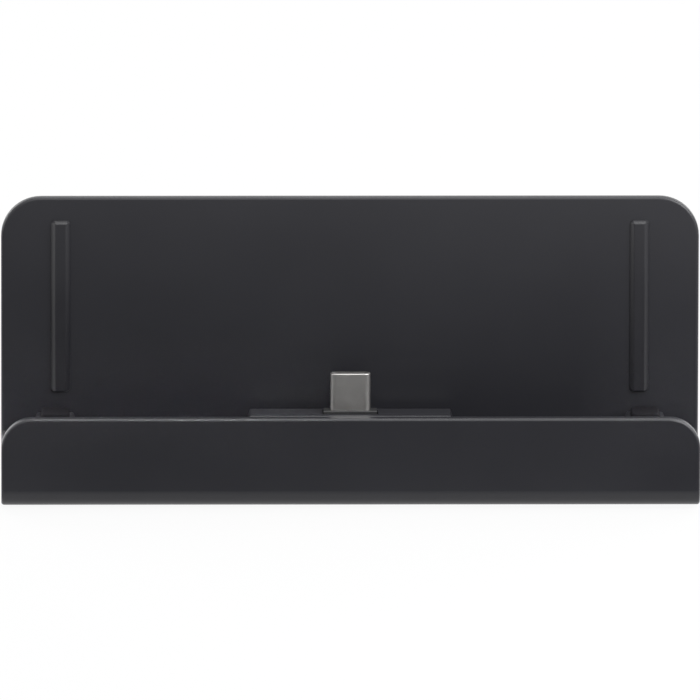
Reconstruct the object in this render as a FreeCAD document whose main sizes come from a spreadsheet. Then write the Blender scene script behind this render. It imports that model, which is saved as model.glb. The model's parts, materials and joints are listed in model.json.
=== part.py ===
import FreeCAD, Part
import math
import os
import re
import Sketcher

# Charging dock for a handheld console, in millimetres.
# The base stands on the XY plane, +X runs along the lip and +Y points to the back.
# Most pieces are drawn in a leaning frame: x along the lip, y square to the back plate, z up along it.

Vector = FreeCAD.Vector
doc = FreeCAD.newDocument("charging_dock")
sheet = doc.addObject("Spreadsheet::Sheet", "Sizes")

# Sizes that can be set by themselves, in millimetres and degrees.
driving = {
    # whole dock
    "dock_width": 142,
    "lean": 14,
    "fit_gap": 0.2,
    "edge_round": 0.6,
    # front shell
    "front_round": 3.5,
    "rear_round": 2.0,
    "lip_wall": 2.6,
    "lip_top": 18.4,
    "lip_corner": 6.4,
    "tray_depth": 15.2,
    "tray_floor": 11.0,
    "tray_root": 1.5,
    "floor_wall": 2.0,
    "plate_wall": 2.0,
    "plate_top": 60.7,
    "plate_corner": 8.15,
    "base_wall": 2.0,
    "ledge_back": 0.6,
    "ledge_top": 2.4,
    # platform round the plug, and the rests beside it
    "platform_front": 1.6,
    "platform_depth": 7.4,
    "platform_top": 17.7,
    "platform_length": 40.8,
    "platform_slope": 2.0,
    "platform_skin": 1.4,
    "platform_round": 0.4,
    "rest_inset": 11.0,
    "rest_length": 7.4,
    "rest_front": 1.0,
    "rest_depth": 10.4,
    "rest_top": 16.6,
    "rest_slope": 2.0,
    "rest_round": 0.8,
    "pad_length": 5.8,
    "pad_margin": 1.2,
    "pad_tuck": 0.8,
    "pad_corner": 1.2,
    "pad_recess": 0.7,
    "pad_proud": 1.3,
    "pad_round": 0.5,
    # long strips on the back plate
    "strip_inset": 12.1,
    "strip_width": 3.6,
    "strip_low": 20.4,
    "strip_drop": 4.8,
    "strip_recess": 0.6,
    "strip_proud": 1.0,
    "strip_tuck": 0.7,
    "strip_corner": 0.9,
    "strip_round": 0.8,
    # plug and its carrier
    "plug_width": 8.25,
    "plug_thickness": 2.4,
    "plug_shell_wall": 0.3,
    "plug_reach": 8.2,
    "plug_round": 0.2,
    "plug_root": 12.0,
    "plug_fit": 0.05,
    "carrier_length": 10.9,
    "carrier_depth": 3.4,
    "carrier_proud": 0.6,
    "carrier_flange": 2.0,
    "carrier_round": 0.25,
    "mouth_depth": 6.5,
    "mouth_width": 6.9,
    "mouth_height": 0.9,
    "mouth_setback": 0.4,
    "contact_count": 12,
    "contact_pitch": 0.5,
    "contact_width": 0.25,
    "contact_thickness": 0.12,
    # circuit board and power inlet
    "board_low": 6.5,
    "board_thickness": 1.0,
    "board_front": 4.1,
    "board_depth": 7.1,
    "board_right": 16.0,
    "board_screw_inset": 15.3,
    "board_screw_right": 12.0,
    "chip_offset": 8.0,
    "chip_pitch": 9.0,
    "chip_size": 4.0,
    "chip_height": 1.0,
    "capacitor_offset": 3.3,
    "capacitor_pitch": 1.6,
    "capacitor_width": 0.8,
    "capacitor_depth": 1.6,
    "capacitor_height": 0.9,
    "inlet_width": 8.94,
    "inlet_height": 3.16,
    "inlet_wall": 0.3,
    "inlet_length": 7.3,
    "inlet_setback": 0.4,
    "inlet_middle": 6.9,
    "inlet_fit": 0.15,
    "tongue_width": 6.69,
    "tongue_thickness": 0.7,
    "tongue_reach": 4.5,
    # bottom cover, feet and screws
    "bottom_wall": 1.8,
    "foot_proud": 0.5,
    "foot_recess": 0.6,
    "foot_length": 14.0,
    "foot_width": 3.6,
    "foot_inset": 30.0,
    "foot_front_row": 3.4,
    "foot_rear_row": 11.8,
    "screw_thread": 1.0,
    "screw_fit": 0.05,
    "screw_hole": 1.2,
    "screw_head": 1.8,
    "head_height": 0.9,
    "head_recess": 1.0,
    "head_hole": 2.0,
    "boss_radius": 1.9,
    "thread_depth": 3.6,
    "screw_inner": 24.0,
    "screw_inset": 11.0,
    # rear cover and hinge
    "cover_skin": 1.6,
    "cover_depth": 5.2,
    "cover_inset": 5.0,
    "cover_drop": 4.7,
    "cover_corner": 7.0,
    "cover_edge": 1.0,
    "cover_boss": 2.2,
    "cover_boss_height": 3.0,
    "cover_screw_inset": 17.5,
    "cover_screw_low": 17.0,
    "cover_screw_drop": 6.5,
    "hinge_drop": 6.0,
    "hinge_inset": 31.0,
    "hinge_stand_off": 4.4,
    "barrel_radius": 2.4,
    "barrel_length": 11.0,
    "lug_radius": 2.6,
    "lug_thickness": 4.0,
    "pin_radius": 1.25,
    "pin_fit": 0.05,
    "washer_thickness": 0.4,
    "washer_gap": 0.1,
    # leg
    "leg_wall": 3.0,
    "leg_gap": 0.5,
    "leg_splay": 10.0,
    "leg_lug_gap": 0.6,
    "grip_length": 26.0,
    "grip_height": 6.0,
    "grip_depth": 1.0,
    "grip_rise": 5.0,
}

# Sizes worked out from the ones above.
derived = {
    "half_width": "dock_width / 2",
    "strip_high": "plate_top - strip_drop",
    "cover_top": "plate_top - cover_drop",
    "cover_screw_high": "cover_top - cover_screw_drop",
    "hinge_height": "cover_top - hinge_drop",
    "lip_front": "-front_round * (1 + sin(lean * 1deg))",
    "lip_low": "lip_front * tan(lean * 1deg)",
    "lip_back": "lip_front + lip_wall",
    "plate_front": "lip_back + tray_depth",
    "plate_back": "plate_front + plate_wall",
    "base_back": "plate_back + cover_skin",
    "base_low": "base_back * tan(lean * 1deg)",
    "floor_under": "tray_floor - floor_wall",
    "cavity_half": "half_width - base_wall",
    "cavity_back": "base_back - base_wall",
    "cavity_low": "-2 * front_round",
    "platform_back": "platform_front + platform_depth",
    "platform_half": "platform_length / 2",
    "platform_foot_half": "platform_half + platform_slope",
    "rest_back": "rest_front + rest_depth",
    "rest_middle": "half_width - rest_inset",
    "pad_bed": "rest_top - pad_recess",
    "strip_middle": "half_width - strip_inset",
    "plug_middle": "platform_front + platform_depth / 2",
    "plug_tip": "platform_top + plug_reach",
    "carrier_top": "platform_top + carrier_proud",
    "carrier_seat": "platform_top - platform_skin",
    "carrier_shoulder": "carrier_length + 2 * carrier_flange",
    "plug_bore_width": "plug_width - 2 * plug_shell_wall",
    "plug_bore_thickness": "plug_thickness - 2 * plug_shell_wall",
    "plug_lip": "plug_tip - mouth_setback",
    "mouth_floor": "plug_lip - mouth_depth",
    "board_top": "board_low + board_thickness",
    "board_back": "board_front + board_depth",
    "board_middle": "board_front + board_depth / 2",
    "inlet_level": "board_low + board_thickness / 2",
    "inlet_mouth": "-half_width + inlet_setback",
    "inlet_end": "inlet_mouth + inlet_length",
    "board_left": "inlet_end + fit_gap",
    "board_screw_left": "inlet_end + board_screw_inset",
    "chip_left": "board_screw_left + chip_offset",
    "capacitor_left": "inlet_end + capacitor_offset",
    "inlet_bore_width": "inlet_width - 2 * inlet_wall",
    "inlet_bore_height": "inlet_height - 2 * inlet_wall",
    "cover_front": "ledge_back + fit_gap",
    "cover_rear": "cavity_back - fit_gap",
    "cover_front_low": "cover_front * tan(lean * 1deg)",
    "cover_rear_low": "cover_rear * tan(lean * 1deg)",
    "cover_rise": "bottom_wall / cos(lean * 1deg)",
    "cover_half": "cavity_half - fit_gap",
    "foot_middle": "half_width - foot_inset",
    "screw_outer": "half_width - screw_inset",
    "floor_middle": "tray_floor - floor_wall / 2",
    "boss_front_top": "(floor_middle - foot_front_row * sin(lean * 1deg)) / cos(lean * 1deg)",
    "boss_rear_top": "(floor_middle - foot_rear_row * sin(lean * 1deg)) / cos(lean * 1deg)",
    "cover_back": "plate_back + cover_depth",
    "rear_cover_low": "tray_floor + fit_gap",
    "rear_cover_half": "half_width - cover_inset",
    "cover_screw_middle": "half_width - cover_screw_inset",
    "hinge_back": "plate_back + hinge_stand_off",
    "hinge_middle": "half_width - hinge_inset",
    "barrel_inner": "hinge_middle - barrel_length / 2",
    "barrel_outer": "hinge_middle + barrel_length / 2",
    "lug_inner": "barrel_inner - washer_gap - washer_thickness",
    "lug_outer": "barrel_outer + washer_gap + washer_thickness",
    "recess_half": "lug_outer + fit_gap",
    "recess_top": "hinge_height + lug_radius + fit_gap",
    "recess_floor": "base_back",
    "leg_inner": "recess_floor + leg_gap - hinge_back",
    "leg_outer": "leg_inner + leg_wall",
    "leg_middle": "leg_inner + leg_wall / 2",
    "leg_top": "-lug_radius - leg_lug_gap",
    "strip_radius": "leg_wall / 2",
    "hinge_y": "hinge_back * cos(lean * 1deg) + hinge_height * sin(lean * 1deg)",
    "hinge_z": "hinge_height * cos(lean * 1deg) - hinge_back * sin(lean * 1deg) + foot_proud",
    "leg_drop": "hinge_z - strip_radius + leg_middle * sin(leg_splay * 1deg)",
    "leg_length": "leg_drop / cos(leg_splay * 1deg)",
    "leg_run": "leg_middle * cos(leg_splay * 1deg) + leg_length * sin(leg_splay * 1deg)",
    "dock_back": "hinge_y + leg_run + strip_radius",
    "dock_shift": "(front_round - dock_back) / 2",
}


def fill_sheet():
    row = 1
    for name, number in driving.items():
        sheet.set("A%d" % row, name)
        sheet.set("B%d" % row, str(number))
        sheet.setAlias("B%d" % row, name)
        row += 1
    for name, formula in derived.items():
        sheet.set("A%d" % row, name)
        sheet.set("B%d" % row, "=" + formula)
        sheet.setAlias("B%d" % row, name)
        row += 1
    doc.recompute()


def value(text):
    return float(sheet.evalExpression(str(text)))


def bind(text):
    return re.sub(r"[a-z_]+", lambda word: "Sizes." + word.group(), str(text))


fill_sheet()

# Frames: the leaning one starts where the lip's front rounding meets the base plane.
lean_turn = FreeCAD.Rotation(Vector(1, 0, 0), -value("lean"))
base_point = Vector(0, value("dock_shift"), value("foot_proud"))
leaning = FreeCAD.Placement(base_point, lean_turn)
level = FreeCAD.Placement(base_point, FreeCAD.Rotation())
hinge_point = Vector(0, value("hinge_y + dock_shift"), value("hinge_z"))
leg_frame = FreeCAD.Placement(hinge_point, FreeCAD.Rotation(Vector(1, 0, 0), value("leg_splay")))
nodes = []


def new_body(label, frame):
    body = doc.addObject("PartDesign::Body", label)
    body.Label = label
    body.Placement = frame
    nodes.append(body)
    return body


# Sketch outlines. Each maker returns a function that draws into a sketch and ties every point to the sheet.
def pin_point(sketch, shape, point, across, up):
    for kind, text in (("DistanceX", across), ("DistanceY", up)):
        index = sketch.addConstraint(Sketcher.Constraint(kind, -1, 1, shape, point, value(text)))
        sketch.setExpression("Constraints[%d]" % index, bind(text))


def set_radius(sketch, shape, radius):
    index = sketch.addConstraint(Sketcher.Constraint("Radius", shape, value(radius)))
    sketch.setExpression("Constraints[%d]" % index, bind(radius))


def polygon(*corners):
    def draw(sketch):
        points = [Vector(value(across), value(up), 0) for across, up in corners]
        start = sketch.GeometryCount
        count = len(points)
        for index in range(count):
            sketch.addGeometry(Part.LineSegment(points[index], points[(index + 1) % count]), False)
        for index, (across, up) in enumerate(corners):
            following = start + (index + 1) % count
            sketch.addConstraint(Sketcher.Constraint("Coincident", start + index, 2, following, 1))
            pin_point(sketch, start + index, 1, across, up)
    return draw


def rectangle(left, right, low, high):
    return polygon((left, low), (right, low), (right, high), (left, high))


def circle(across, up, radius):
    def draw(sketch):
        centre = Vector(value(across), value(up), 0)
        ring = Part.Circle(centre, Vector(0, 0, 1), value(radius))
        shape = sketch.addGeometry(ring, False)
        pin_point(sketch, shape, 3, across, up)
        set_radius(sketch, shape, radius)
    return draw


def stadium(across, up, length, thickness):
    def draw(sketch):
        radius = value(thickness) / 2
        reach = value(length) / 2 - radius
        middle = Vector(value(across), value(up), 0)
        normal = Vector(0, 0, 1)
        start = sketch.GeometryCount
        for side, begin in ((1, -math.pi / 2), (-1, math.pi / 2)):
            end_circle = Part.Circle(middle + Vector(side * reach, 0, 0), normal, radius)
            sketch.addGeometry(Part.ArcOfCircle(end_circle, begin, begin + math.pi), False)
        for side in (1, -1):
            near = middle + Vector(side * reach, side * radius, 0)
            far = middle + Vector(-side * reach, side * radius, 0)
            sketch.addGeometry(Part.LineSegment(near, far), False)
        joins = ((2, 1, 0, 2), (2, 2, 1, 1), (3, 1, 1, 2), (3, 2, 0, 1))
        for line, line_end, arc, arc_end in joins:
            tangent = Sketcher.Constraint("Tangent", start + line, line_end, start + arc, arc_end)
            sketch.addConstraint(tangent)
        for arc, sign in ((0, "+"), (1, "-")):
            centre = "%s %s ((%s) - (%s)) / 2" % (across, sign, length, thickness)
            pin_point(sketch, start + arc, 3, centre, up)
        set_radius(sketch, start, "(%s) / 2" % thickness)
    return draw


def lug(across, up, radius, root):
    def draw(sketch):
        centre = Vector(value(across), value(up), 0)
        size = value(radius)
        back = value(root)
        top = centre + Vector(0, size, 0)
        bottom = centre - Vector(0, size, 0)
        start = sketch.GeometryCount
        bow = Part.Circle(centre, Vector(0, 0, 1), size)
        sketch.addGeometry(Part.ArcOfCircle(bow, -math.pi / 2, math.pi / 2), False)
        sketch.addGeometry(Part.LineSegment(top, Vector(back, top.y, 0)), False)
        sketch.addGeometry(Part.LineSegment(Vector(back, top.y, 0), Vector(back, bottom.y, 0)), False)
        sketch.addGeometry(Part.LineSegment(Vector(back, bottom.y, 0), bottom), False)
        sketch.addConstraint(Sketcher.Constraint("Tangent", start + 1, 1, start, 2))
        sketch.addConstraint(Sketcher.Constraint("Tangent", start + 3, 2, start, 1))
        sketch.addConstraint(Sketcher.Constraint("Coincident", start + 1, 2, start + 2, 1))
        sketch.addConstraint(Sketcher.Constraint("Coincident", start + 2, 2, start + 3, 1))
        sketch.addConstraint(Sketcher.Constraint("Horizontal", start + 1))
        sketch.addConstraint(Sketcher.Constraint("Vertical", start + 2))
        pin_point(sketch, start, 3, across, up)
        set_radius(sketch, start, radius)
        reach = sketch.addConstraint(Sketcher.Constraint("DistanceX", -1, 1, start + 2, 1, back))
        sketch.setExpression("Constraints[%d]" % reach, bind(root))
    return draw


# Features. Planes are named by the axis they are square to; "base" is the plane the dock stands on.
def new_sketch(body, axis, place, outlines):
    role = {"x": "YZ_Plane", "y": "XZ_Plane", "z": "XY_Plane", "base": "XY_Plane"}[axis]
    plane = [feature for feature in body.Origin.OriginFeatures if feature.Role == role][0]
    sketch = body.newObject("Sketcher::SketchObject", body.Name + "_sketch")
    sketch.AttachmentSupport = [(plane, "")]
    sketch.MapMode = "FlatFace"
    if axis == "base":
        turn = FreeCAD.Rotation(Vector(1, 0, 0), value("lean"))
        lift = turn.multVec(Vector(0, 0, value(place)))
        sketch.AttachmentOffset = FreeCAD.Placement(lift, turn)
    else:
        sign = "-1 * " if axis == "y" else ""
        sketch.setExpression("AttachmentOffset.Base.z", bind("%s(%s)" % (sign, place)))
    for draw in outlines:
        draw(sketch)
    return sketch


def add_feature(body, kind, axis, place, span, outlines):
    before = body.Shape.Volume if body.Tip else 0
    sketch = new_sketch(body, axis, place, outlines)
    feature = body.newObject("PartDesign::" + kind, body.Name + "_" + kind.lower())
    feature.Profile = sketch
    feature.setExpression("Length", bind(span))
    doc.recompute()
    change = feature.Shape.Volume - before
    if change * (1 if kind == "Pad" else -1) <= 0:
        raise ValueError("%s of %s changed nothing" % (kind, body.Label))
    return feature


def grow(body, axis, low, high, *outlines):
    place = high if axis == "y" else low
    return add_feature(body, "Pad", axis, place, "(%s) - (%s)" % (high, low), outlines)


def cut(body, axis, low, high, *outlines):
    place = low if axis == "y" else high
    return add_feature(body, "Pocket", axis, place, "(%s) - (%s)" % (high, low), outlines)


def round_edges(body, radius, wanted):
    base = body.Tip
    names = []
    for index, edge in enumerate(base.Shape.Edges):
        if wanted(edge):
            names.append("Edge%d" % (index + 1))
    if not names:
        raise ValueError("no edge to round on " + body.Label)
    feature = body.newObject("PartDesign::Fillet", body.Name + "_fillet")
    feature.Base = (base, names)
    feature.setExpression("Radius", bind(radius))
    doc.recompute()
    if feature.Shape.isNull() or "Invalid" in feature.State:
        raise ValueError("rounding failed on " + body.Label)
    return feature


def near(first, second):
    return abs(first - second) < 0.001


def edges_at(along="", **places):
    # Picks edges whose ends lie at the given coordinates, and which run along the named axis if there is one.
    targets = {name: [value(text) for text in texts] for name, texts in places.items()}

    def test(edge):
        if len(edge.Vertexes) < 2:
            return False
        first, second = [vertex.Point for vertex in edge.Vertexes]
        for name, wanted in targets.items():
            for spot in (getattr(first, name), getattr(second, name)):
                if not any(near(spot, place) for place in wanted):
                    return False
        strays = [name for name in "xyz" if along and name != along]
        return all(near(getattr(first, name), getattr(second, name)) for name in strays)
    return test


# Front shell: lip, tray, back plate and hollow base in one moulding.
def front_shell():
    body = new_body("front_shell", leaning)
    profile = polygon(
        ("lip_front", "lip_low"), ("lip_front", "lip_top"), ("lip_back", "lip_top"),
        ("lip_back", "tray_floor"), ("plate_front", "tray_floor"), ("plate_front", "plate_top"),
        ("plate_back", "plate_top"), ("plate_back", "tray_floor"), ("base_back", "tray_floor"),
        ("base_back", "base_low"))
    grow(body, "x", "-half_width", "half_width", profile)
    ends = ("-half_width", "half_width")
    round_edges(body, "plate_corner", edges_at("y", x=ends, z=("plate_top",)))
    round_edges(body, "lip_corner", edges_at("y", x=ends, z=("lip_top",)))
    round_edges(body, "front_round", edges_at("x", y=("lip_front",), z=("lip_low",)))
    round_edges(body, "rear_round", edges_at("x", y=("base_back",), z=("base_low",)))
    round_edges(body, "tray_root", edges_at("x", y=("lip_back", "plate_front"), z=("tray_floor",)))
    round_edges(body, "edge_round", edges_at("x", y=("lip_front",), z=("lip_top",)))
    round_edges(body, "edge_round", edges_at("x", y=("lip_back",), z=("lip_top",)))
    round_edges(body, "edge_round", edges_at("x", y=("plate_back",), z=("plate_top",)))
    # A ledge behind the front rounding closes the base up to the bottom cover.
    cavity = polygon(
        ("ledge_back", "cavity_low"), ("cavity_back", "cavity_low"), ("cavity_back", "floor_under"),
        ("lip_back", "floor_under"), ("lip_back", "ledge_top"), ("ledge_back", "ledge_top"))
    cut(body, "x", "-cavity_half", "cavity_half", cavity)
    add_platform(body)
    add_rests(body)
    for side in (-1, 1):
        cut(body, "y", "plate_front", "plate_front + strip_recess", strip_face(side, "strip_tuck"))
    inlet = stadium("inlet_middle", "inlet_level",
                    "inlet_width + 2 * inlet_fit", "inlet_height + 2 * inlet_fit")
    cut(body, "x", "-half_width", "-cavity_half", inlet)
    add_bosses(body)


def island(body, middle, half, foot_half, front, back, top):
    sides = polygon(
        (middle + " - " + foot_half, "floor_middle"), (middle + " + " + foot_half, "floor_middle"),
        (middle + " + " + half, top), (middle + " - " + half, top))
    grow(body, "y", front, back, sides)


def add_platform(body):
    island(body, "0", "platform_half", "platform_foot_half", "platform_front", "platform_back", "platform_top")
    round_edges(body, "platform_round", edges_at(z=("platform_top",)))
    bed = rectangle("-carrier_shoulder / 2 - fit_gap", "carrier_shoulder / 2 + fit_gap",
                    "plug_middle - carrier_depth / 2 - fit_gap", "plug_middle + carrier_depth / 2 + fit_gap")
    cut(body, "z", "cavity_low", "carrier_seat", bed)
    slot = rectangle("-carrier_length / 2 - fit_gap", "carrier_length / 2 + fit_gap",
                     "plug_middle - carrier_depth / 2 - fit_gap", "plug_middle + carrier_depth / 2 + fit_gap")
    cut(body, "z", "cavity_low", "platform_top", slot)


def add_rests(body):
    for middle in ("-rest_middle", "rest_middle"):
        island(body, middle, "rest_length / 2", "(rest_length / 2 + rest_slope)",
               "rest_front", "rest_back", "rest_top")
    round_edges(body, "rest_round", edges_at(z=("rest_top",)))
    for side in (-1, 1):
        cut(body, "z", "pad_bed", "rest_top", pad_face(side, "pad_tuck"))


def strip_face(side, tuck):
    middle = "%d * strip_middle" % side
    half = "(strip_width / 2 - %s)" % tuck
    return rectangle(middle + " - " + half, middle + " + " + half, "strip_low + " + tuck, "strip_high - " + tuck)


def pad_face(side, tuck):
    middle = "%d * rest_middle" % side
    half = "(pad_length / 2 - %s)" % tuck
    return rectangle(middle + " - " + half, middle + " + " + half,
                     "rest_front + pad_margin + " + tuck, "rest_back - pad_margin - " + tuck)


def cover_screw_rows():
    # The rear row leaves out the left half, where the board lies.
    return {
        "foot_front_row": ("-screw_outer", "-screw_inner", "screw_inner", "screw_outer"),
        "foot_rear_row": ("screw_inner", "screw_outer"),
    }


def add_bosses(body):
    # Bosses for the bottom cover stand square to it and end inside the tray floor.
    tops = {"foot_front_row": "boss_front_top", "foot_rear_row": "boss_rear_top"}
    for row, places in cover_screw_rows().items():
        rounds = [circle(across, row, "boss_radius") for across in places]
        grow(body, "base", "bottom_wall", tops[row], *rounds)
        holes = [circle(across, row, "screw_thread + screw_fit") for across in places]
        cut(body, "base", "bottom_wall", "bottom_wall + thread_depth", *holes)
    grow(body, "z", "board_top", "floor_middle", *board_holes("boss_radius"))
    cut(body, "z", "board_top", "floor_middle", *board_holes("screw_thread + screw_fit"))
    bosses = [circle(across, up, "cover_boss") for across, up in rear_screw_places()]
    grow(body, "y", "plate_back - plate_wall / 2", "plate_back + cover_boss_height", *bosses)
    holes = [circle(across, up, "screw_thread + screw_fit") for across, up in rear_screw_places()]
    cut(body, "y", "plate_back - plate_wall / 2", "plate_back + cover_boss_height", *holes)


def board_holes(radius):
    return [circle(place, "board_middle", radius) for place in ("board_screw_left", "board_screw_right")]


def rear_screw_places():
    places = []
    for side in (-1, 1):
        for up in ("cover_screw_low", "cover_screw_high"):
            places.append(("%d * cover_screw_middle" % side, up))
    return places


# Soft pieces on the front shell: each has a rounded cap, and a root tucked into a narrower recess.
def back_strip(label, side):
    body = new_body(label, leaning)
    grow(body, "y", "plate_front - strip_proud", "plate_front", strip_face(side, "0"))
    round_edges(body, "strip_corner", edges_at("y"))
    round_edges(body, "strip_round", edges_at(y=("plate_front - strip_proud",)))
    grow(body, "y", "plate_front", "plate_front + strip_recess", strip_face(side, "strip_tuck"))


def rest_pad(label, side):
    body = new_body(label, leaning)
    grow(body, "z", "rest_top", "rest_top + pad_proud", pad_face(side, "0"))
    round_edges(body, "pad_corner", edges_at("z"))
    round_edges(body, "pad_round", edges_at(z=("rest_top + pad_proud",)))
    grow(body, "z", "pad_bed", "rest_top", pad_face(side, "pad_tuck"))


# Plug: a carrier on the board, a drawn steel shell, and the insulator with its contacts.
def plug_carrier():
    body = new_body("plug_carrier", leaning)
    front = "plug_middle - carrier_depth / 2"
    back = "plug_middle + carrier_depth / 2"
    flange = rectangle("-carrier_shoulder / 2", "carrier_shoulder / 2", front, back)
    grow(body, "z", "board_top", "carrier_seat", flange)
    collar = rectangle("-carrier_length / 2", "carrier_length / 2", front, back)
    grow(body, "z", "carrier_seat", "carrier_top", collar)
    round_edges(body, "carrier_round", edges_at(z=("carrier_top",)))
    socket = stadium("0", "plug_middle", "plug_width + 2 * plug_fit", "plug_thickness + 2 * plug_fit")
    cut(body, "z", "plug_root", "carrier_top", socket)


def plug_shell():
    body = new_body("plug_shell", leaning)
    grow(body, "z", "plug_root", "plug_tip", stadium("0", "plug_middle", "plug_width", "plug_thickness"))
    round_edges(body, "plug_round", edges_at(z=("plug_tip",)))
    bore = stadium("0", "plug_middle", "plug_bore_width", "plug_bore_thickness")
    cut(body, "z", "plug_root", "plug_tip", bore)


def plug_insulator():
    body = new_body("plug_insulator", leaning)
    core = stadium("0", "plug_middle", "plug_bore_width - 2 * plug_fit", "plug_bore_thickness - 2 * plug_fit")
    grow(body, "z", "plug_root", "plug_lip", core)
    mouth = rectangle("-mouth_width / 2", "mouth_width / 2",
                      "plug_middle - mouth_height / 2", "plug_middle + mouth_height / 2")
    cut(body, "z", "mouth_floor", "plug_lip", mouth)


def boxes(label, frame, places):
    # A group of separate blocks, each given by its low corner and its size.
    blocks = []
    for corner, size in places:
        block = doc.addObject("Part::Box", label + "_block")
        for name, text in zip(("Length", "Width", "Height"), size):
            block.setExpression(name, bind(text))
        for name, text in zip("xyz", corner):
            block.setExpression("Placement.Base." + name, bind(text))
        blocks.append(block)
    group = doc.addObject("Part::Compound", label)
    group.Label = label
    group.Links = blocks
    group.Placement = frame
    nodes.append(group)


def plug_contacts():
    places = []
    size = ("contact_width", "contact_thickness", "mouth_depth - 2 * mouth_setback")
    for row in ("plug_middle - mouth_height / 2", "plug_middle + mouth_height / 2 - contact_thickness"):
        for index in range(int(value("contact_count"))):
            across = "(%d - (contact_count - 1) / 2) * contact_pitch - contact_width / 2" % index
            places.append(((across, row, "mouth_floor"), size))
    boxes("plug_contacts", leaning, places)


# Circuit board with the parts on it.
def main_board():
    body = new_body("main_board", leaning)
    face = rectangle("board_left", "board_right", "board_front", "board_back")
    grow(body, "z", "board_low", "board_top", face)
    cut(body, "z", "board_low", "board_top", *board_holes("screw_hole"))


def board_chips():
    places = []
    for index in range(3):
        corner = ("chip_left + %d * chip_pitch" % index, "board_middle - chip_size / 2", "board_top")
        places.append((corner, ("chip_size", "chip_size", "chip_height")))
    boxes("board_chips", leaning, places)


def board_capacitors():
    places = []
    size = ("capacitor_width", "capacitor_depth", "capacitor_height")
    for index in range(5):
        corner = ("capacitor_left + %d * capacitor_pitch" % index, "board_middle", "board_top")
        places.append((corner, size))
    boxes("board_capacitors", leaning, places)


# Power inlet: a drawn shell round a moulded tongue, in the left end of the base.
def inlet_shell():
    body = new_body("inlet_shell", leaning)
    can = stadium("inlet_middle", "inlet_level", "inlet_width", "inlet_height")
    grow(body, "x", "inlet_mouth", "inlet_end", can)
    bore = stadium("inlet_middle", "inlet_level", "inlet_bore_width", "inlet_bore_height")
    cut(body, "x", "inlet_mouth", "inlet_end", bore)


def inlet_tongue():
    body = new_body("inlet_tongue", leaning)
    root = "inlet_end - inlet_length + tongue_reach + 2 * inlet_setback"
    block = stadium("inlet_middle", "inlet_level",
                    "inlet_bore_width - 2 * plug_fit", "inlet_bore_height - 2 * plug_fit")
    grow(body, "x", root, "inlet_end", block)
    blade = rectangle("inlet_middle - tongue_width / 2", "inlet_middle + tongue_width / 2",
                      "inlet_level - tongue_thickness / 2", "inlet_level + tongue_thickness / 2")
    grow(body, "x", root + " - tongue_reach", root, blade)


# Bottom cover, let in between the walls of the base, with beds for the feet.
def bottom_cover():
    body = new_body("bottom_cover", leaning)
    section = polygon(
        ("cover_front", "cover_front_low"), ("cover_rear", "cover_rear_low"),
        ("cover_rear", "cover_rear_low + cover_rise"), ("cover_front", "cover_front_low + cover_rise"))
    grow(body, "x", "-cover_half", "cover_half", section)
    for row, places in cover_screw_rows().items():
        cut(body, "base", "0", "bottom_wall", *[circle(across, row, "screw_hole") for across in places])
        cut(body, "base", "0", "head_recess", *[circle(across, row, "head_hole") for across in places])
    beds = [stadium(across, row, "foot_length", "foot_width") for across, row in foot_places().values()]
    cut(body, "base", "0", "foot_recess", *beds)


def foot_places():
    return {
        "foot_front_left": ("-foot_middle", "foot_front_row"),
        "foot_front_right": ("foot_middle", "foot_front_row"),
        "foot_rear_left": ("-foot_middle", "foot_rear_row"),
        "foot_rear_right": ("foot_middle", "foot_rear_row"),
    }


def feet():
    for label, (across, row) in foot_places().items():
        body = new_body(label, level)
        grow(body, "z", "-foot_proud", "foot_recess", stadium(across, row, "foot_length", "foot_width"))


# Rear cover: a tray behind the back plate with a recess for the leg and four hinge lugs.
def rear_cover():
    body = new_body("rear_cover", leaning)
    face = rectangle("-rear_cover_half", "rear_cover_half", "rear_cover_low", "cover_top")
    grow(body, "y", "plate_back", "cover_back", face)
    sides = ("-rear_cover_half", "rear_cover_half")
    round_edges(body, "cover_corner", edges_at("y", x=sides, z=("cover_top",)))
    round_edges(body, "cover_edge", edges_at("x", y=("cover_back",), z=("cover_top",)))
    recess = rectangle("-recess_half", "recess_half", "rear_cover_low", "recess_top")
    cut(body, "y", "recess_floor", "cover_back", recess)
    outline = lug("hinge_back", "hinge_height", "lug_radius", "plate_back")
    hole = circle("hinge_back", "hinge_height", "pin_radius")
    spans = (
        ("lug_inner - lug_thickness", "lug_inner"), ("lug_outer", "lug_outer + lug_thickness"),
        ("-lug_inner", "lug_thickness - lug_inner"), ("-lug_outer - lug_thickness", "-lug_outer"))
    for low, high in spans:
        grow(body, "x", low, high, outline)
        cut(body, "x", low, high, hole)
    steps = (
        ("plate_back", "plate_back + cover_boss_height + fit_gap", "cover_boss + fit_gap"),
        ("plate_back", "cover_back", "screw_hole"),
        ("cover_back - head_recess", "cover_back", "head_hole"))
    for low, high, radius in steps:
        cut(body, "y", low, high, *[circle(across, up, radius) for across, up in rear_screw_places()])


# Leg, drawn folded: its hinge axis is the local x axis and it hangs down from it.
def leg_panel():
    body = new_body("leg_panel", leg_frame)
    face = polygon(
        ("-barrel_outer", "-leg_length"), ("barrel_outer", "-leg_length"), ("barrel_outer", "0"),
        ("barrel_inner", "0"), ("barrel_inner", "leg_top"), ("-barrel_inner", "leg_top"),
        ("-barrel_inner", "0"), ("-barrel_outer", "0"))
    grow(body, "y", "leg_inner", "leg_outer", face)
    for low, high in (("barrel_inner", "barrel_outer"), ("-barrel_outer", "-barrel_inner")):
        grow(body, "x", low, high, circle("0", "0", "barrel_radius"))
        cut(body, "x", low, high, circle("0", "0", "pin_radius + pin_fit"))
    grip = stadium("0", "-leg_length + grip_rise", "grip_length", "grip_height")
    cut(body, "y", "leg_outer - grip_depth", "leg_outer", grip)


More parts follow.
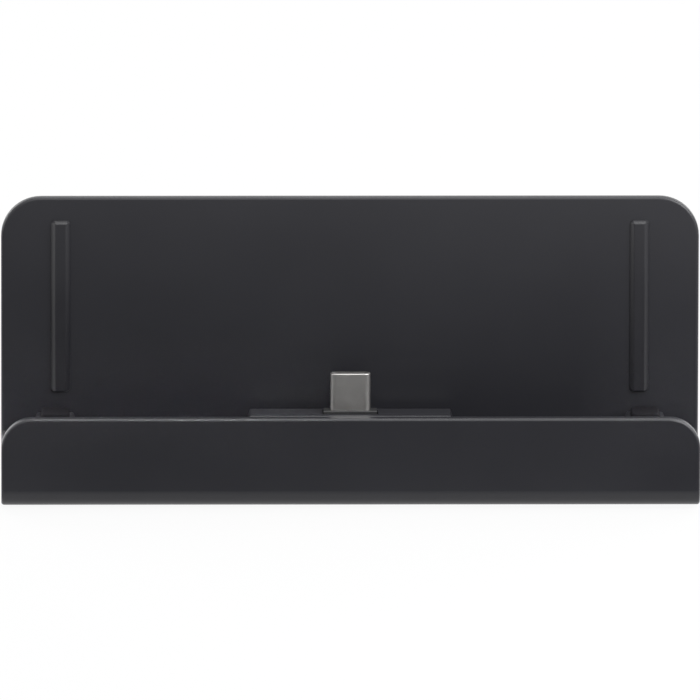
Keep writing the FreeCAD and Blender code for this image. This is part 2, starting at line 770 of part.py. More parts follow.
def leg_foot_strip():
    body = new_body("leg_foot_strip", leg_frame)

    def half_round(sketch):
        centre = Vector(value("leg_middle"), value("-leg_length"), 0)
        radius = value("strip_radius")
        bow = Part.Circle(centre, Vector(0, 0, 1), radius)
        sketch.addGeometry(Part.ArcOfCircle(bow, math.pi, 2 * math.pi), False)
        right = centre + Vector(radius, 0, 0)
        left = centre - Vector(radius, 0, 0)
        sketch.addGeometry(Part.LineSegment(right, left), False)
        sketch.addConstraint(Sketcher.Constraint("Coincident", 0, 2, 1, 1))
        sketch.addConstraint(Sketcher.Constraint("Coincident", 1, 2, 0, 1))
        sketch.addConstraint(Sketcher.Constraint("PointOnObject", 0, 3, 1))
        sketch.addConstraint(Sketcher.Constraint("Horizontal", 1))
        pin_point(sketch, 0, 3, "leg_middle", "-leg_length")
        set_radius(sketch, 0, "strip_radius")
    grow(body, "x", "-barrel_outer", "barrel_outer", half_round)


def hinge_pin(label, side):
    body = new_body(label, leaning)
    ends = ["%d * (lug_inner - lug_thickness)" % side, "%d * (lug_outer + lug_thickness)" % side]
    ends.sort(key=value)
    grow(body, "x", ends[0], ends[1], circle("hinge_back", "hinge_height", "pin_radius"))


def friction_washers(label, side):
    washers = []
    for face, outward in (("lug_inner", 1), ("lug_outer", -1)):
        ends = ["%d * %s" % (side, face), "%d * (%s + %d * washer_thickness)" % (side, face, outward)]
        ends.sort(key=value)
        body = doc.addObject("PartDesign::Body", label + "_ring")
        grow(body, "x", ends[0], ends[1], circle("hinge_back", "hinge_height", "barrel_radius"))
        cut(body, "x", ends[0], ends[1], circle("hinge_back", "hinge_height", "pin_radius + pin_fit"))
        washers.append(body)
    group = doc.addObject("Part::Compound", label)
    group.Label = label
    group.Links = washers
    group.Placement = leaning
    nodes.append(group)


# Screws: each stands on the underside of its head, with the shank along its own z axis.
def screws(label, length, seats):
    pieces = []
    for seat in seats:
        shank = doc.addObject("Part::Cylinder", label + "_shank")
        shank.setExpression("Radius", bind("screw_thread"))
        shank.setExpression("Height", bind(length))
        head = doc.addObject("Part::Cylinder", label + "_head")
        head.setExpression("Radius", bind("screw_head"))
        head.setExpression("Height", bind("head_height"))
        head.setExpression("Placement.Base.z", bind("-head_height"))
        screw = doc.addObject("Part::Fuse", label + "_screw")
        screw.Base = shank
        screw.Tool = head
        screw.Placement = seat
        pieces.append(screw)
    group = doc.addObject("Part::Compound", label)
    group.Label = label
    group.Links = pieces
    nodes.append(group)


def placed(frame, across, back, up, turn):
    spot = Vector(value(across), value(back), value(up))
    return frame.multiply(FreeCAD.Placement(spot, FreeCAD.Rotation(Vector(1, 0, 0), turn)))


def all_screws():
    seats = []
    for row, places in cover_screw_rows().items():
        seats += [placed(level, across, row, "head_recess", 0) for across in places]
    screws("bottom_cover_screws", "bottom_wall - head_recess + thread_depth - fit_gap", seats)
    seats = []
    for place in ("board_screw_left", "board_screw_right"):
        seats.append(placed(leaning, place, "board_middle", "board_low", 0))
    screws("board_screws", "board_thickness + floor_middle - board_top - fit_gap", seats)
    seats = [placed(leaning, across, "cover_back - head_recess", up, 90) for across, up in rear_screw_places()]
    screws("rear_cover_screws", "cover_depth - head_recess + plate_wall / 2 - fit_gap", seats)


def build():
    front_shell()
    rear_cover()
    bottom_cover()
    for name, side in (("left", -1), ("right", 1)):
        back_strip("back_strip_" + name, side)
        rest_pad("rest_pad_" + name, side)
        hinge_pin("hinge_pin_" + name, side)
        friction_washers("friction_washers_" + name, side)
    plug_carrier()
    plug_shell()
    plug_insulator()
    plug_contacts()
    main_board()
    board_chips()
    board_capacitors()
    inlet_shell()
    inlet_tongue()
    feet()
    leg_panel()
    leg_foot_strip()
    all_screws()
    doc.recompute()


def check():
    for item in doc.Objects:
        if "Invalid" in item.State or "Error" in item.State:
            raise ValueError("failed object: " + item.Label)
    for node in nodes:
        if node.Shape.isNull() or not node.Shape.isValid():
            raise ValueError("bad shape: " + node.Label)


def write():
    os.makedirs("parts", exist_ok=True)
    for node in nodes:
        node.Shape.exportStep("parts/%s.step" % node.Label)
        print(node.Label, len(node.Shape.Solids), round(node.Shape.Volume, 2))


build()
check()
write()
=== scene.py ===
import bpy
import bmesh
import json
import math
from mathutils import Matrix, Vector


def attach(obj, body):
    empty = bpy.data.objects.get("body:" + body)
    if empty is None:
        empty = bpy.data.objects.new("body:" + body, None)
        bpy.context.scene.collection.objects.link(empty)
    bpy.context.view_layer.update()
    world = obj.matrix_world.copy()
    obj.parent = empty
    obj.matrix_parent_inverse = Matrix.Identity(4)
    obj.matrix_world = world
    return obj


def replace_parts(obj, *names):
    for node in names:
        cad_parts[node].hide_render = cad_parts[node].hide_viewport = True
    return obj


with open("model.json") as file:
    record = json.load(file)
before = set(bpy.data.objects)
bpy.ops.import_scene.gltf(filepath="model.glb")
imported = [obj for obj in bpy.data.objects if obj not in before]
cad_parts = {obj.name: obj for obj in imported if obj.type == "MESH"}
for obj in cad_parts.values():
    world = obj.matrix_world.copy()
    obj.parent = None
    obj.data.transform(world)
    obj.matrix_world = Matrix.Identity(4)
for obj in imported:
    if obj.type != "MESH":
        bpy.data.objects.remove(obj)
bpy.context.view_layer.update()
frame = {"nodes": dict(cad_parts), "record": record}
print("frame loaded,", len(frame["nodes"]), "nodes")

mm = 0.001
lean = math.radians(14)  # the dock leans back by this much
basePoint = Vector((0, -18.03928 * mm, 0.5 * mm))  # where the leaning drawing starts
white = (1.0, 1.0, 1.0, 1.0)


def leaning(across, back, up):
    # a point drawn square to the back plate, put in the frame of the whole dock
    turned = Vector((across, back * math.cos(lean) + up * math.sin(lean),
                     up * math.cos(lean) - back * math.sin(lean)))
    return basePoint + turned * mm


def addObject(name, data):
    thing = bpy.data.objects.new(name, data)
    bpy.context.scene.collection.objects.link(thing)
    return thing


# nodes that the shader groups, the finishes and the screws are wired from

def addNode(tree, kind, links=None, **settings):
    node = tree.nodes.new(kind)
    for name, value in settings.items():
        setattr(node, name, value)
    for socket, source in (links or {}).items():
        if isinstance(source, bpy.types.NodeSocket):
            tree.links.new(source, node.inputs[socket])
        else:
            node.inputs[socket].default_value = source
    return node


def mathNode(tree, operation, first, second, third=0.0):
    return addNode(tree, "ShaderNodeMath", {0: first, 1: second, 2: third}, operation=operation).outputs[0]


def rangeNode(tree, source, span, result=(0.0, 1.0)):
    node = addNode(tree, "ShaderNodeMapRange", {"Value": source, "From Min": span[0], "From Max": span[1],
                                                "To Min": result[0], "To Max": result[1]})
    return node.outputs["Result"]


def noiseNode(tree, place, scale, detail, roughness=0.5):
    node = addNode(tree, "ShaderNodeTexNoise", {"Vector": place, "Scale": scale, "Detail": detail,
                                                "Roughness": roughness})
    return node.outputs["Fac"]


def vectorNode(tree, **parts):
    return addNode(tree, "ShaderNodeCombineXYZ", parts).outputs[0]


def objectPlace(tree):
    return addNode(tree, "ShaderNodeTexCoord").outputs["Object"]


# shader groups shared by the finishes

def newGroup(name, inputs, outputs):
    group = bpy.data.node_groups.new(name, "ShaderNodeTree")
    for label, value in inputs.items():
        socket = group.interface.new_socket(label, in_out="INPUT", socket_type="NodeSocketFloat")
        socket.default_value = value
    for label in outputs:
        group.interface.new_socket(label, in_out="OUTPUT", socket_type="NodeSocketFloat")
    given = group.nodes.new("NodeGroupInput").outputs
    result = group.nodes.new("NodeGroupOutput").inputs
    return group, given, result


grainLook = {"grainScale": 3000.0, "grainDetail": 2.0, "grainRoughness": 0.6,
             "cloudScale": 30.0, "cloudDetail": 3.0, "cloudSpan": (0.3, 0.7)}


def makeMouldGrain(look):
    # fine spark grain of a moulding tool, and the slow clouding of a big moulded face
    group, given, result = newGroup("mouldGrain", {"Grain Scale": look["grainScale"],
                                                   "Cloud Scale": look["cloudScale"]}, ("Height", "Cloud"))
    place = objectPlace(group)
    grain = noiseNode(group, place, given["Grain Scale"], look["grainDetail"], look["grainRoughness"])
    cloud = noiseNode(group, place, given["Cloud Scale"], look["cloudDetail"])
    group.links.new(grain, result["Height"])
    group.links.new(rangeNode(group, cloud, look["cloudSpan"]), result["Cloud"])
    return group


scratchLook = {"density": 240.0, "share": 0.2, "turn": (0.2, 0.1, 0.15), "stretch": (0.06, 1.0, 1.0),
               "lineDetail": 4.0, "lineRoughness": 0.7, "lineSpan": (0.6, 0.68),
               "patchScale": 45.0, "patchDetail": 1.0, "patchSpan": (0.45, 0.62)}


def makeHairScratches(look):
    # thin rubbed lines that run roughly along the dock, in patches
    group, given, result = newGroup("hairScratches", {"Density": look["density"], "Share": look["share"]},
                                    ("Mask",))
    place = objectPlace(group)
    turned = addNode(group, "ShaderNodeMapping", {"Vector": place, "Rotation": look["turn"],
                                                  "Scale": look["stretch"]}).outputs[0]
    lines = noiseNode(group, turned, given["Density"], look["lineDetail"], look["lineRoughness"])
    patch = noiseNode(group, place, look["patchScale"], look["patchDetail"])
    sharp = rangeNode(group, lines, look["lineSpan"])
    some = rangeNode(group, patch, look["patchSpan"])
    both = mathNode(group, "MULTIPLY", sharp, some)
    group.links.new(mathNode(group, "MULTIPLY", both, given["Share"]), result["Mask"])
    return group


dustLook = {"amount": 0.3, "speckScale": 900.0, "speckDetail": 3.0, "upSpan": (0.55, 1.0),
            "speckSpan": (0.4, 0.7), "speckResult": (0.2, 1.0)}


def makeSettledDust(look):
    # a faint film on faces that look up
    group, given, result = newGroup("settledDust", {"Amount": look["amount"]}, ("Mask",))
    facing = addNode(group, "ShaderNodeNewGeometry").outputs["Normal"]
    up = addNode(group, "ShaderNodeSeparateXYZ", {"Vector": facing}).outputs["Z"]
    specks = noiseNode(group, objectPlace(group), look["speckScale"], look["speckDetail"])
    level = rangeNode(group, up, look["upSpan"])
    broken = rangeNode(group, specks, look["speckSpan"], look["speckResult"])
    film = mathNode(group, "MULTIPLY", level, broken)
    group.links.new(mathNode(group, "MULTIPLY", film, given["Amount"]), result["Mask"])
    return group


streakLook = {"alongX": 1.0, "alongZ": 1.0, "fineness": 1500.0, "detail": 3.0, "roughness": 0.6,
              "span": (0.3, 0.7)}


def makeDrawnStreaks(look):
    # the drawing lines of pressed and turned metal
    group, given, result = newGroup("drawnStreaks", {"Along X": look["alongX"], "Along Z": look["alongZ"],
                                                     "Fineness": look["fineness"]}, ("Streak", "Height"))
    stretch = vectorNode(group, X=given["Along X"], Y=1.0, Z=given["Along Z"])
    scaled = addNode(group, "ShaderNodeVectorMath", {0: objectPlace(group), 1: stretch}, operation="MULTIPLY")
    lines = noiseNode(group, scaled.outputs[0], given["Fineness"], look["detail"], look["roughness"])
    group.links.new(rangeNode(group, lines, look["span"]), result["Streak"])
    group.links.new(lines, result["Height"])
    return group


mouldGrain = makeMouldGrain(grainLook)
hairScratches = makeHairScratches(scratchLook)
settledDust = makeSettledDust(dustLook)
drawnStreaks = makeDrawnStreaks(streakLook)
print("shader groups made")


# finishes

def newFinish(name, **constants):
    finish = bpy.data.materials.new(name)
    finish.use_nodes = True
    tree = finish.node_tree
    shader = tree.nodes["Principled BSDF"]
    for label, value in constants.items():
        shader.inputs[label.replace("_", " ")].default_value = value
    return finish, tree, shader


def useGroup(tree, group, **values):
    node = addNode(tree, "ShaderNodeGroup", node_tree=group)
    for label, value in values.items():
        node.inputs[label.replace("_", " ")].default_value = value
    return node.outputs


def mixColour(tree, factor, first, second):
    node = addNode(tree, "ShaderNodeMix", data_type="RGBA")
    tree.links.new(factor, node.inputs[0])
    for index, source in ((6, first), (7, second)):  # the two colour sockets of a Mix node
        if isinstance(source, bpy.types.NodeSocket):
            tree.links.new(source, node.inputs[index])
        else:
            node.inputs[index].default_value = (*source, 1.0)
    return node.outputs[2]


def addBump(tree, shader, height, strength, depth):
    bump = addNode(tree, "ShaderNodeBump", {"Height": height, "Strength": strength, "Distance": depth * mm})
    tree.links.new(bump.outputs[0], shader.inputs["Normal"])


# plain values of the moulded finishes, which each of them may change
plasticBase = {"ior": 1.46, "sheen": 0.5, "scratch": 0.1, "scratchGloss": 0.3, "grainDepth": 0.03,
               "dust": 0.0, "dustColour": (0.12, 0.12, 0.12)}
plasticLooks = {
    "black_plastic": {
        "name": "satinBlackPlastic", "deep": (0.0162, 0.0161, 0.0197), "pale": (0.0185, 0.0184, 0.0222),
        "rough": (0.31, 0.36), "grain": 3200.0, "cloud": 28.0, "bump": 0.12, "dust": 0.01},
    "rear_plastic": {
        "name": "coarseBlackPlastic", "deep": (0.0142, 0.0142, 0.0172), "pale": (0.0166, 0.0166, 0.0198),
        "rough": (0.50, 0.58), "sheen": 0.4, "grain": 1900.0, "cloud": 36.0, "bump": 0.35,
        "scratch": 0.15, "dust": 0.01},
    "strip_elastomer": {
        "name": "softStripElastomer", "deep": (0.0125, 0.0122, 0.0152), "pale": (0.0145, 0.0142, 0.0175),
        "rough": (0.32, 0.38), "sheen": 0.53, "grain": 2600.0, "cloud": 60.0, "bump": 0.15,
        "scratch": 0.08, "dust": 0.04},
    "black_rubber": {
        "name": "matteBlackRubber", "deep": (0.0065, 0.0060, 0.0078), "pale": (0.0095, 0.0088, 0.0110),
        "rough": (0.72, 0.84), "ior": 1.40, "sheen": 0.12, "grain": 1800.0, "cloud": 90.0, "bump": 0.25,
        "scratch": 0.05, "dust": 0.02},
    "carrier_plastic": {
        "name": "plugCarrierPlastic", "deep": (0.012, 0.012, 0.013), "pale": (0.018, 0.018, 0.019),
        "rough": (0.42, 0.50), "grain": 3400.0, "cloud": 120.0, "bump": 0.15, "scratch": 0.3, "dust": 0.1},
    "insulator_plastic": {
        "name": "insulatorPlastic", "deep": (0.022, 0.022, 0.024), "pale": (0.030, 0.030, 0.032),
        "rough": (0.50, 0.58), "grain": 3400.0, "cloud": 150.0, "bump": 0.15},
    "board_laminate": {
        "name": "greenSolderMask", "deep": (0.012, 0.090, 0.040), "pale": (0.025, 0.140, 0.065),
        "rough": (0.28, 0.38), "ior": 1.5, "grain": 5200.0, "cloud": 420.0, "bump": 0.2},
    "chip_resin": {
        "name": "chipResin", "deep": (0.018, 0.018, 0.019), "pale": (0.030, 0.030, 0.031),
        "rough": (0.55, 0.65), "ior": 1.5, "grain": 4200.0, "cloud": 300.0, "bump": 0.3, "scratch": 0.2},
    "capacitor_ceramic": {
        "name": "capacitorCeramic", "deep": (0.30, 0.20, 0.12), "pale": (0.42, 0.30, 0.20),
        "rough": (0.45, 0.55), "ior": 1.6, "grain": 6000.0, "cloud": 700.0, "bump": 0.2, "scratch": 0.0},
}


def moulded(look):
    # satin or matte moulding: clouded colour, fine grain, hair scratches and a little dust
    finish, tree, shader = newFinish(look["name"], IOR=look["ior"], Specular_IOR_Level=look["sheen"])
    grain = useGroup(tree, mouldGrain, Grain_Scale=look["grain"], Cloud_Scale=look["cloud"])
    scratch = useGroup(tree, hairScratches, Share=look["scratch"])
    dust = useGroup(tree, settledDust, Amount=look["dust"])
    tone = mixColour(tree, grain["Cloud"], look["deep"], look["pale"])
    tree.links.new(mixColour(tree, dust["Mask"], tone, look["dustColour"]), shader.inputs["Base Color"])
    gloss = rangeNode(tree, grain["Cloud"], (0.0, 1.0), look["rough"])
    worn = mathNode(tree, "MULTIPLY", scratch["Mask"], look["scratchGloss"])
    tree.links.new(mathNode(tree, "SUBTRACT", gloss, worn), shader.inputs["Roughness"])
    addBump(tree, shader, grain["Height"], look["bump"], look["grainDepth"])
    return finish


# plain values of the metals
metalBase = {"grain": 2400.0, "cloud": 220.0, "streakDepth": 0.02}
metalLooks = {
    "plug_steel": {
        "name": "satinNickelShell", "deep": (0.42, 0.41, 0.40), "pale": (0.46, 0.45, 0.44),
        "rough": (0.34, 0.40), "alongX": 1.0, "alongZ": 0.05, "fineness": 1800.0, "bump": 0.01},
    "hinge_steel": {
        "name": "groundHingeSteel", "deep": (0.46, 0.46, 0.47), "pale": (0.55, 0.55, 0.56),
        "rough": (0.22, 0.34), "alongX": 0.05, "alongZ": 1.0, "fineness": 2200.0, "bump": 0.15},
    "screw_steel": {
        "name": "blackenedScrewSteel", "deep": (0.14, 0.14, 0.15), "pale": (0.22, 0.22, 0.23),
        "rough": (0.30, 0.42), "alongX": 1.0, "alongZ": 1.0, "fineness": 2400.0, "bump": 0.2},
    "contact_brass": {
        "name": "goldContacts", "deep": (0.72, 0.50, 0.20), "pale": (0.86, 0.64, 0.30),
        "rough": (0.18, 0.28), "alongX": 1.0, "alongZ": 0.1, "fineness": 4000.0, "bump": 0.05},
}


def metal(look):
    # plated or ground metal with its drawing lines
    finish, tree, shader = newFinish(look["name"], Metallic=1.0)
    streak = useGroup(tree, drawnStreaks, Along_X=look["alongX"], Along_Z=look["alongZ"],
                      Fineness=look["fineness"])
    grain = useGroup(tree, mouldGrain, Grain_Scale=look["grain"], Cloud_Scale=look["cloud"])
    tone = mixColour(tree, grain["Cloud"], look["deep"], look["pale"])
    tree.links.new(tone, shader.inputs["Base Color"])
    gloss = rangeNode(tree, streak["Streak"], (0.0, 1.0), look["rough"])
    tree.links.new(gloss, shader.inputs["Roughness"])
    addBump(tree, shader, streak["Height"], look["bump"], look["streakDepth"])
    return finish


finishes = {slot: moulded({**plasticBase, **look}) for slot, look in plasticLooks.items()}
finishes.update({slot: metal({**metalBase, **look}) for slot, look in metalLooks.items()})
coarseNodes = ("rear_cover", "leg_panel", "bottom_cover")  # moulded with a coarser grain than the front
for subpart in frame["record"]["subparts"]:
    node = frame["nodes"][subpart["node"]]
    finish = "rear_plastic" if subpart["node"] in coarseNodes else subpart["material_slot"]
    node.data.materials.clear()
    node.data.materials.append(finishes[finish])
print("finishes made,", len(finishes), "for", len(frame["nodes"]), "nodes")


# cover screws: tapered heads with a cross recess, set by geometry nodes

screwLook = {"headRadius": 1.8, "headTop": 1.45, "headHeight": 0.9, "slotLength": 2.2, "slotWidth": 0.5,
             "slotDepth": 0.55, "shankRadius": 1.0, "sides": 28, "mostRoll": 1.5, "seed": 7}
screwLengths = {"Head Radius": "headRadius", "Head Top": "headTop", "Head Height": "headHeight",
                "Slot Length": "slotLength", "Slot Width": "slotWidth", "Slot Depth": "slotDepth",
                "Shank Radius": "shankRadius"}  # the tree's inputs, and their values above in mm
underLook = {"rows": ((3.4, (-60, -24, 24, 60)), (11.8, (24, 60))), "face": 1.5, "shank": 4.2,
             "turn": math.pi}  # rows are back from the base point, each with its places across
backLook = {"across": (-53.5, 53.5), "heights": (17.0, 49.5), "face": 19.65327, "shank": 5.0,
            "turn": -math.pi / 2 - lean}


def liftNode(tree, geometry, height):
    node = addNode(tree, "GeometryNodeTransform", {"Geometry": geometry,
                                                   "Translation": vectorNode(tree, Z=height)})
    return node.outputs["Geometry"]


def coneNode(tree, sides, low, top, height):
    node = addNode(tree, "GeometryNodeMeshCone", {"Vertices": sides, "Radius Top": top,
                                                  "Radius Bottom": low, "Depth": height})
    return node.outputs["Mesh"]


def makeScrewTree(look):
    tree = bpy.data.node_groups.new("coverScrews", "GeometryNodeTree")
    tree.interface.new_socket("Seats", in_out="INPUT", socket_type="NodeSocketGeometry")
    for label in (*screwLengths, "Shank Length", "Turn"):
        tree.interface.new_socket(label, in_out="INPUT", socket_type="NodeSocketFloat")
    tree.interface.new_socket("Sides", in_out="INPUT", socket_type="NodeSocketInt")
    tree.interface.new_socket("Finish", in_out="INPUT", socket_type="NodeSocketMaterial")
    tree.interface.new_socket("Screws", in_out="OUTPUT", socket_type="NodeSocketGeometry")
    given = tree.nodes.new("NodeGroupInput").outputs
    result = tree.nodes.new("NodeGroupOutput").inputs

    # the head, cut by two crossed bars
    head = coneNode(tree, given["Sides"], given["Head Radius"], given["Head Top"], given["Head Height"])
    floor = mathNode(tree, "SUBTRACT", given["Head Height"], given["Slot Depth"])
    middle = mathNode(tree, "MULTIPLY_ADD", given["Head Height"], 0.5, floor)
    crossed = addNode(tree, "GeometryNodeMeshBoolean", operation="UNION")
    for x, y in (("Slot Length", "Slot Width"), ("Slot Width", "Slot Length")):
        size = vectorNode(tree, X=given[x], Y=given[y], Z=given["Head Height"])
        bar = addNode(tree, "GeometryNodeMeshCube", {"Size": size}).outputs["Mesh"]
        tree.links.new(liftNode(tree, bar, middle), crossed.inputs["Mesh 2"])
    slotted = addNode(tree, "GeometryNodeMeshBoolean", {"Mesh 1": head}, operation="DIFFERENCE")
    tree.links.new(crossed.outputs["Mesh"], slotted.inputs["Mesh 2"])

    # the shank, hung below the head
    shank = coneNode(tree, given["Sides"], given["Shank Radius"], given["Shank Radius"],
                     given["Shank Length"])
    drop = mathNode(tree, "MULTIPLY", given["Shank Length"], -1.0)
    screw = addNode(tree, "GeometryNodeJoinGeometry")
    tree.links.new(slotted.outputs["Mesh"], screw.inputs[0])
    tree.links.new(liftNode(tree, shank, drop), screw.inputs[0])

    # one screw on each seat, tipped to face out and rolled by chance
    spin = addNode(tree, "FunctionNodeRandomValue", {2: -look["mostRoll"], 3: look["mostRoll"],
                                                     "Seed": look["seed"]}, data_type="FLOAT")
    aimed = addNode(tree, "FunctionNodeEulerToRotation", {0: vectorNode(tree, X=given["Turn"])})
    rolled = addNode(tree, "FunctionNodeEulerToRotation", {0: vectorNode(tree, Z=spin.outputs[1])})
    turned = addNode(tree, "FunctionNodeRotateRotation", {
        "Rotation": aimed.outputs[0], "Rotate By": rolled.outputs[0]}, rotation_space="LOCAL")
    copies = addNode(tree, "GeometryNodeInstanceOnPoints", {
        "Points": given["Seats"], "Instance": screw.outputs["Geometry"], "Rotation": turned.outputs[0]})
    real = addNode(tree, "GeometryNodeRealizeInstances", {"Geometry": copies.outputs["Instances"]})
    done = addNode(tree, "GeometryNodeSetMaterial", {"Geometry": real.outputs["Geometry"],
                                                     "Material": given["Finish"]})
    tree.links.new(done.outputs["Geometry"], result["Screws"])
    return tree


def setInput(modifier, label, value):
    for item in modifier.node_group.interface.items_tree:
        if item.name == label and item.in_out == "INPUT":
            modifier[item.identifier] = value


def makeScrews(name, tree, seats, seatLook):
    mesh = bpy.data.meshes.new(name)
    mesh.from_pydata(seats, [], [])
    piece = addObject(name, mesh)
    modifier = piece.modifiers.new("set", "NODES")
    modifier.node_group = tree
    for label, key in screwLengths.items():
        setInput(modifier, label, screwLook[key] * mm)
    setInput(modifier, "Shank Length", seatLook["shank"] * mm)
    setInput(modifier, "Turn", seatLook["turn"])
    setInput(modifier, "Sides", screwLook["sides"])
    setInput(modifier, "Finish", finishes["screw_steel"])
    bpy.context.view_layer.update()
    ready = piece.evaluated_get(bpy.context.evaluated_depsgraph_get())
    plain = bpy.data.meshes.new_from_object(ready)
    piece.modifiers.remove(modifier)
    piece.data = plain
    plain.name = name
    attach(piece, "dock")
    return piece


screwTree = makeScrewTree(screwLook)
underSeats = [(x * mm, basePoint.y + row * mm, underLook["face"] * mm)
              for row, places in underLook["rows"] for x in places]
backSeats = [leaning(x, backLook["face"], up) for x in backLook["across"] for up in backLook["heights"]]
underScrews = makeScrews("bottomScrews", screwTree, underSeats, underLook)
backScrews = makeScrews("rearScrews", screwTree, backSeats, backLook)
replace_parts(underScrews, "bottom_cover_screws")
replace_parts(backScrews, "rear_cover_screws")
print("screws set,", len(underSeats) + len(backSeats))


# back strips: soft bars with bevelled edges, rooted in their recesses in the plate

stripLook = {"across": 58.9, "half": 2.0, "low": 20.3, "high": 55.95,  # place and outline
             "plate": 13.45327, "proud": 1.0, "side": 0.03, "lift": 0.01,  # depths about the plate's face
             "bevel": 1.0, "topBevel": 0.7, "lowBevel": 0.25, "fullness": 1.15, "rim": 0.12,
             "corner": 0.9, "leastCorner": 0.05, "rootInset": 0.95, "rootDepth": 0.5,
             "roundSteps": 7, "cornerSteps": 5, "sharpAngle": 60}


def stripRing(look, side, inset, lowInset, topInset, back):
    # the rounded outline of a strip, drawn in by the insets, at a depth from the plate's face
    radius = max(look["corner"] - inset, look["leastCorner"])
    half = look["half"] - inset - radius
    low, high = look["low"] + lowInset + radius, look["high"] - topInset - radius
    points = []
    for step, (x, up) in enumerate(((half, high), (-half, high), (-half, low), (half, low))):
        for turn in range(look["cornerSteps"] + 1):
            angle = math.radians(90 * (step + turn / look["cornerSteps"]))
            points.append(leaning(side * look["across"] + x + radius * math.cos(angle),
                                  look["plate"] + back, up + radius * math.sin(angle)))
    return points


def stripRings(look):
    # insets and depth of each ring, from the root up to the flat face
    root, lift, rim = look["rootInset"], -look["lift"], look["rim"]
    rings = [(root, root, root, look["rootDepth"]), (root, root, root, lift), (0.0, 0.0, 0.0, lift)]
    power = 2 / look["fullness"]
    for step in range(look["roundSteps"] + 1):
        angle = math.radians(90 * step / look["roundSteps"])
        drawn, risen = 1 - max(math.cos(angle), 0.0) ** power, math.sin(angle) ** power
        rings.append((look["bevel"] * drawn, look["lowBevel"] * drawn, look["topBevel"] * drawn,
                      -look["side"] - (look["proud"] - look["side"]) * risen))
    rings.append((look["bevel"] + rim, look["lowBevel"] + rim, look["topBevel"] + rim, -look["proud"]))
    return rings


def makeStrip(name, look, side):
    shape = bmesh.new()
    loops = [[shape.verts.new(point) for point in stripRing(look, side, *ring)] for ring in stripRings(look)]
    for lower, upper in zip(loops, loops[1:]):
        for first in range(len(lower)):
            after = (first + 1) % len(lower)
            shape.faces.new((lower[first], lower[after], upper[after], upper[first]))
    shape.faces.new(loops[0])
    shape.faces.new(loops[-1])
    bmesh.ops.recalc_face_normals(shape, faces=shape.faces)
    mesh = bpy.data.meshes.new(name)
    shape.to_mesh(mesh)
    shape.free()
    mesh.materials.append(finishes["strip_elastomer"])
    mesh.shade_smooth()
    mesh.set_sharp_from_angle(angle=math.radians(look["sharpAngle"]))
    strip = addObject(name, mesh)
    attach(strip, "dock")
    return strip


for side, name in ((-1, "left"), (1, "right")):
    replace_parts(makeStrip(name + "BackStrip", stripLook, side), "back_strip_" + name)
print("back strips made")


# stage: pale floor, grey card, sky, soft lights and the camera

floorLook = {"size": 12.0, "grey": 0.62, "roughness": 0.9, "glow": 0.93}


def seenDirectly(tree):
    # 1 for what the camera sees straight on, in a mirror or through glass
    path = addNode(tree, "ShaderNodeLightPath").outputs
    added = mathNode(tree, "ADD", path["Is Camera Ray"], path["Is Glossy Ray"])
    total = addNode(tree, "ShaderNodeMath", {0: added, 1: path["Is Transmission Ray"]}, operation="ADD",
                    use_clamp=True)
    return total.outputs[0]


def makeFloor(look):
    mesh = bpy.data.meshes.new("paleFloor")
    shape = bmesh.new()
    bmesh.ops.create_grid(shape, x_segments=2, y_segments=2, size=look["size"] / 2)
    shape.to_mesh(mesh)
    shape.free()
    floor = addObject("paleFloor", mesh)
    finish, tree, shader = newFinish("paleFloorPaint", Roughness=look["roughness"], Specular_IOR_Level=0.0,
                                     Base_Color=(look["grey"], look["grey"], look["grey"], 1.0))
    glow = addNode(tree, "ShaderNodeEmission", {"Color": white, "Strength": 1.0})
    share = mathNode(tree, "MULTIPLY", seenDirectly(tree), look["glow"])
    mixed = addNode(tree, "ShaderNodeMixShader", {0: share, 1: shader.outputs[0], 2: glow.outputs[0]})
    tree.links.new(mixed.outputs[0], tree.nodes["Material Output"].inputs["Surface"])
    mesh.materials.append(finish)


flagLook = {"near": -0.037, "far": -0.10, "low": 0.002, "highLeft": 0.086, "highRight": 0.029, "half": 0.24,
            "toneLeft": 0.13, "toneRight": 0.01, "fade": 0.08, "roughness": 1.0}


def makeFrontFlag(look):
    # a grey card sloping up in front of the dock, which only its glossy faces see
    mesh = bpy.data.meshes.new("frontFlag")
    half, near, far = look["half"], look["near"], look["far"]
    corners = [(-half, near, look["low"]), (half, near, look["low"]),
               (half, far, look["highRight"]), (-half, far, look["highLeft"])]
    mesh.from_pydata(corners, [], [(0, 1, 2, 3)])
    flag = addObject("frontFlag", mesh)
    finish, tree, shader = newFinish("flagCloth", Roughness=look["roughness"])
    across = addNode(tree, "ShaderNodeSeparateXYZ", {"Vector": objectPlace(tree)}).outputs["X"]
    share = rangeNode(tree, across, (-look["fade"], look["fade"]))
    tone = mixColour(tree, share, [look["toneLeft"]] * 3, [look["toneRight"]] * 3)
    tree.links.new(tone, shader.inputs["Base Color"])
    mesh.materials.append(finish)
    flag.visible_camera = False
    flag.visible_diffuse = False
    flag.visible_shadow = False


skyLook = {"fill": 0.22, "tint": (0.96, 0.98, 1.0, 1.0)}


def makeSky(look):
    world = bpy.data.worlds.new("studioRoom")
    bpy.context.scene.world = world
    world.use_nodes = True
    tree = world.node_tree
    fill = tree.nodes["Background"]
    fill.inputs["Color"].default_value = look["tint"]
    fill.inputs["Strength"].default_value = look["fill"]
    plain = addNode(tree, "ShaderNodeBackground", {"Color": white, "Strength": 1.0})
    mixed = addNode(tree, "ShaderNodeMixShader", {0: seenDirectly(tree), 1: fill.outputs[0],
                                                  2: plain.outputs[0]})
    tree.links.new(mixed.outputs[0], tree.nodes["World Output"].inputs["Surface"])


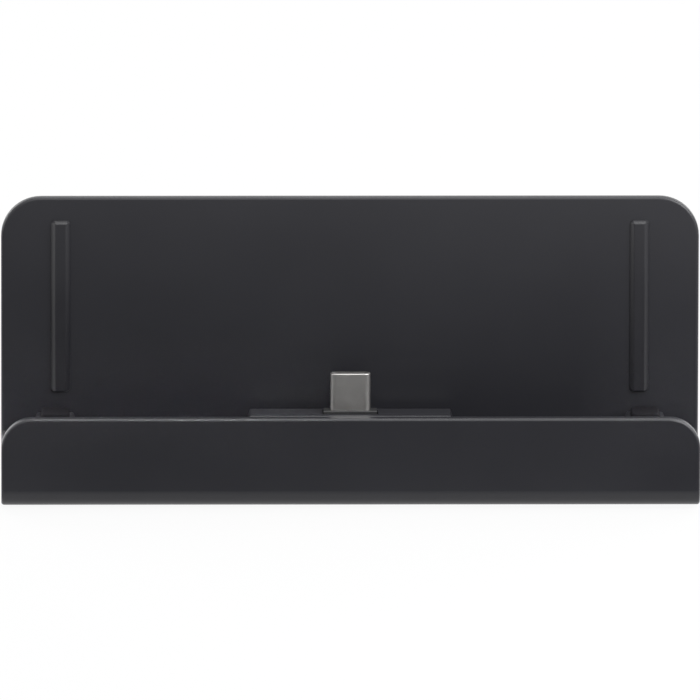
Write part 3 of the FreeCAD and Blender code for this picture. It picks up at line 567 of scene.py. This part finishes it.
# plain values of the lights, which each of them may change: aim in metres, spread in degrees
lightBase = {"aim": (0.0, 0.0, 0.03), "tint": (1.0, 1.0, 1.0), "spread": 180}
coolTint = (0.98, 0.99, 1.0)
lightLooks = {
    "topSoftbox": {"place": (0.10, 0.25, 0.95), "size": (0.8, 0.65), "watts": 5.0},
    "frontSoftbox": {"place": (0.20, -0.9, 1.1), "size": (1.2, 0.8), "watts": 6.2, "tint": coolTint},
    "nearSoftbox": {"place": (0.30, -0.18, 0.32), "aim": (0.05, 0.0, 0.05), "size": (0.26, 0.26),
                    "watts": 1.5, "tint": coolTint},
    "leftPanel": {"place": (-0.60, -0.05, 0.14), "size": (0.55, 0.34), "watts": 1.0},
    "rightPanel": {"place": (0.60, -0.05, 0.14), "size": (0.55, 0.34), "watts": 0.1},
    "leftRim": {"place": (-0.62, 0.50, 0.42), "size": (0.45, 0.72), "watts": 4.6},
    "rightRim": {"place": (0.62, 0.50, 0.40), "size": (0.45, 0.70), "watts": 4.0},
    "trayLeft": {"place": (-0.041, -0.20, 0.28), "aim": (-0.041, -0.006, 0.017), "size": (0.074, 0.010),
                 "watts": 0.0024, "spread": 5},
    "trayRight": {"place": (0.066, -0.20, 0.28), "aim": (0.066, -0.006, 0.017), "size": (0.02, 0.010),
                  "watts": 0.0008, "spread": 5},
}


def softLight(name, look):
    lamp = bpy.data.lights.new(name, "AREA")
    lamp.shape = "RECTANGLE"
    lamp.size, lamp.size_y = look["size"]
    lamp.energy = look["watts"]
    lamp.spread = math.radians(look["spread"])
    lamp.color = look["tint"]
    light = addObject(name, lamp)
    light.location = look["place"]
    toAim = Vector(look["aim"]) - Vector(look["place"])
    light.rotation_euler = toAim.to_track_quat("-Z", "Y").to_euler()


cameraLook = {"height": 26.0, "swing": 0.95, "roll": 0.367, "distance": 5.0, "target": (0.0, 0.0, 0.02626),
              "pixelsPerMm": 4.913, "imagePixels": 700, "sensor": 36, "farClip": 50}


def makeCamera(look):
    height, swing, roll = (math.radians(look[key]) for key in ("height", "swing", "roll"))
    forward = Vector((math.sin(swing) * math.cos(height), math.cos(swing) * math.cos(height),
                      -math.sin(height)))
    right = Vector((math.cos(swing), -math.sin(swing), 0))
    up = right.cross(forward)
    side = right * math.cos(roll) + up * math.sin(roll)
    top = up * math.cos(roll) - right * math.sin(roll)
    data = bpy.data.cameras.new("photoCamera")
    data.sensor_width = look["sensor"]
    data.lens = look["pixelsPerMm"] / mm * look["distance"] * data.sensor_width / look["imagePixels"]
    data.clip_end = look["farClip"]
    camera = addObject("photoCamera", data)
    turn = Matrix((side, top, -forward)).transposed().to_4x4()
    camera.matrix_world = Matrix.Translation(Vector(look["target"]) - forward * look["distance"]) @ turn
    bpy.context.scene.camera = camera


makeFloor(floorLook)
makeFrontFlag(flagLook)
makeSky(skyLook)
for name, look in lightLooks.items():
    softLight(name, {**lightBase, **look})
makeCamera(cameraLook)
bpy.context.scene.view_settings.view_transform = "Standard"
print("stage set,", len(lightLooks), "lights")
